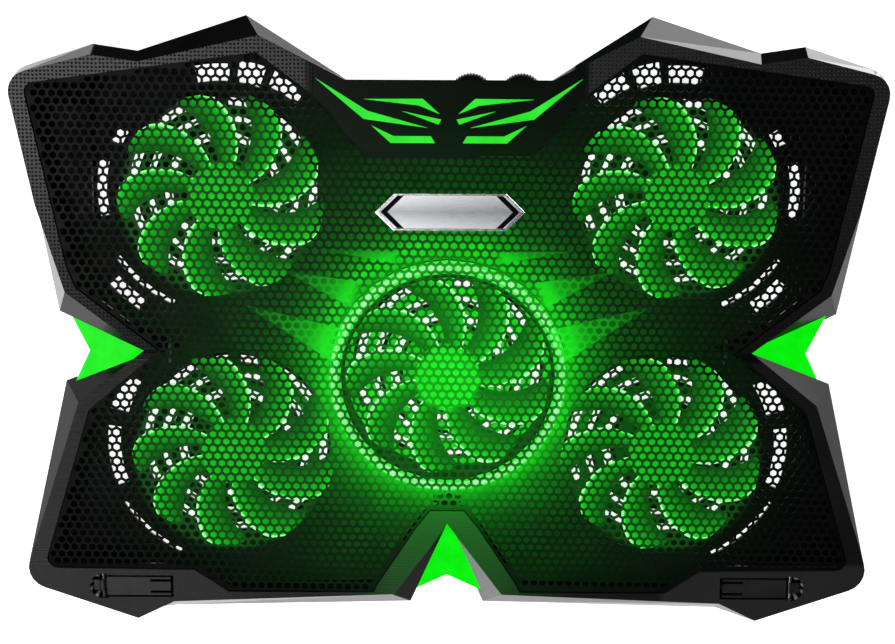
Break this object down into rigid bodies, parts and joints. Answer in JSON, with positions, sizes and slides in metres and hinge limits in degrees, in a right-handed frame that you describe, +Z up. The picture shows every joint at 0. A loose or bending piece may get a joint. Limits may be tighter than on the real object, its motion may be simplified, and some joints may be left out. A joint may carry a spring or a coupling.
{
  "type": "laptop cooling pad",
  "caption": "Butterfly-shaped laptop cooling pad with mesh top, lit fans and arrow lights, flip-up front stops, thumb wheels and fold-out rear legs.",
  "frame": {"origin": "middle of the footprint's bounding box, on the table under the feet", "axes": "+Z up, +Y to the rear edge with the thumb wheels, +X to the right as seen by the user"},
  "size_m": [0.3904, 0.2812, 0.028],
  "materials": {
    "shell_plastic": "fine-textured black plastic",
    "cover_plastic": "satin black plastic",
    "knob_plastic": "glossy black plastic",
    "mesh_metal": "semi-gloss black paint",
    "plate_metal": "brushed",
    "motor_plastic": "satin",
    "rotor_plastic": "translucent green plastic",
    "green_lens": "bright green diffuser",
    "circuit_board": "solder mask",
    "rubber_feet": "matt",
    "steel_pins": "plain",
    "port_metal": "plated",
    "switch_plastic": "satin"
  },
  "bodies": {
    "base": {"top_shell": "shell_plastic", "bottom_cover": "cover_plastic", "mesh_panel": "mesh_metal", "nameplate": "plate_metal", "motor_base_rear_left": "motor_plastic", "motor_base_rear_right": "motor_plastic", "motor_base_front_left": "motor_plastic", "motor_base_front_right": "motor_plastic", "motor_base_centre": "motor_plastic", "centre_shroud": "cover_plastic", "centre_light_ring": "green_lens", "centre_led_ring": "circuit_board", "arrow_light_left": "green_lens", "arrow_led_left": "circuit_board", "arrow_light_right": "green_lens", "arrow_led_right": "circuit_board", "arrow_light_front": "green_lens", "arrow_led_front": "circuit_board", "stop_pin_left": "steel_pins", "leg_pin_left": "steel_pins", "stop_pin_right": "steel_pins", "leg_pin_right": "steel_pins", "speed_dial_switch": "switch_plastic", "light_dial_switch": "switch_plastic", "control_board": "circuit_board", "usb_port_outer": "port_metal", "usb_port_inner": "port_metal", "cover_screw_1": "steel_pins", "cover_screw_2": "steel_pins", "cover_screw_3": "steel_pins", "cover_screw_4": "steel_pins", "cover_screw_5": "steel_pins", "cover_screw_6": "steel_pins", "foot_1": "rubber_feet", "foot_2": "rubber_feet", "foot_3": "rubber_feet", "foot_4": "rubber_feet"},
    "rotor_rear_left": {"rotor_rear_left": "rotor_plastic"},
    "rotor_rear_right": {"rotor_rear_right": "rotor_plastic"},
    "rotor_front_left": {"rotor_front_left": "rotor_plastic"},
    "rotor_front_right": {"rotor_front_right": "rotor_plastic"},
    "rotor_centre": {"rotor_centre": "rotor_plastic"},
    "stop_left": {"stop_left": "cover_plastic"},
    "rear_leg_left": {"rear_leg_left": "cover_plastic", "leg_pad_left": "rubber_feet"},
    "stop_right": {"stop_right": "cover_plastic"},
    "rear_leg_right": {"rear_leg_right": "cover_plastic", "leg_pad_right": "rubber_feet"},
    "speed_wheel": {"speed_wheel": "knob_plastic"},
    "light_wheel": {"light_wheel": "knob_plastic"}
  },
  "joints": [
    {"name": "spin_rear_left", "type": "hinge", "parent": "base", "child": "rotor_rear_left", "pos_m": [-0.1027, 0.059, 0.0153], "axis": [0, 0, 1], "continuous": true},
    {"name": "spin_rear_right", "type": "hinge", "parent": "base", "child": "rotor_rear_right", "pos_m": [0.1027, 0.059, 0.0153], "axis": [0, 0, 1], "continuous": true},
    {"name": "spin_front_left", "type": "hinge", "parent": "base", "child": "rotor_front_left", "pos_m": [-0.099, -0.062, 0.0153], "axis": [0, 0, 1], "continuous": true},
    {"name": "spin_front_right", "type": "hinge", "parent": "base", "child": "rotor_front_right", "pos_m": [0.099, -0.062, 0.0153], "axis": [0, 0, 1], "continuous": true},
    {"name": "spin_centre", "type": "hinge", "parent": "base", "child": "rotor_centre", "pos_m": [0, -0.025, 0.0153], "axis": [0, 0, 1], "continuous": true},
    {"name": "lift_stop_left", "type": "hinge", "parent": "base", "child": "stop_left", "pos_m": [-0.16, -0.1247, 0.0252], "axis": [0, -1, 0], "range_deg": [0, 90]},
    {"name": "lift_stop_right", "type": "hinge", "parent": "base", "child": "stop_right", "pos_m": [0.16, -0.1247, 0.0252], "axis": [0, 1, 0], "range_deg": [0, 90]},
    {"name": "unfold_leg_left", "type": "hinge", "parent": "base", "child": "rear_leg_left", "pos_m": [-0.1695, 0.094, 0.0056], "axis": [1, 0, 0], "range_deg": [0, 100]},
    {"name": "unfold_leg_right", "type": "hinge", "parent": "base", "child": "rear_leg_right", "pos_m": [0.1695, 0.094, 0.0056], "axis": [1, 0, 0], "range_deg": [0, 100]},
    {"name": "turn_speed_wheel", "type": "hinge", "parent": "base", "child": "speed_wheel", "pos_m": [0.0098, 0.1056, 0.0188], "axis": [0, 0, 1], "range_deg": [0, 270]},
    {"name": "turn_light_wheel", "type": "hinge", "parent": "base", "child": "light_wheel", "pos_m": [0.0323, 0.1056, 0.0188], "axis": [0, 0, 1], "range_deg": [0, 270]}
  ]
}
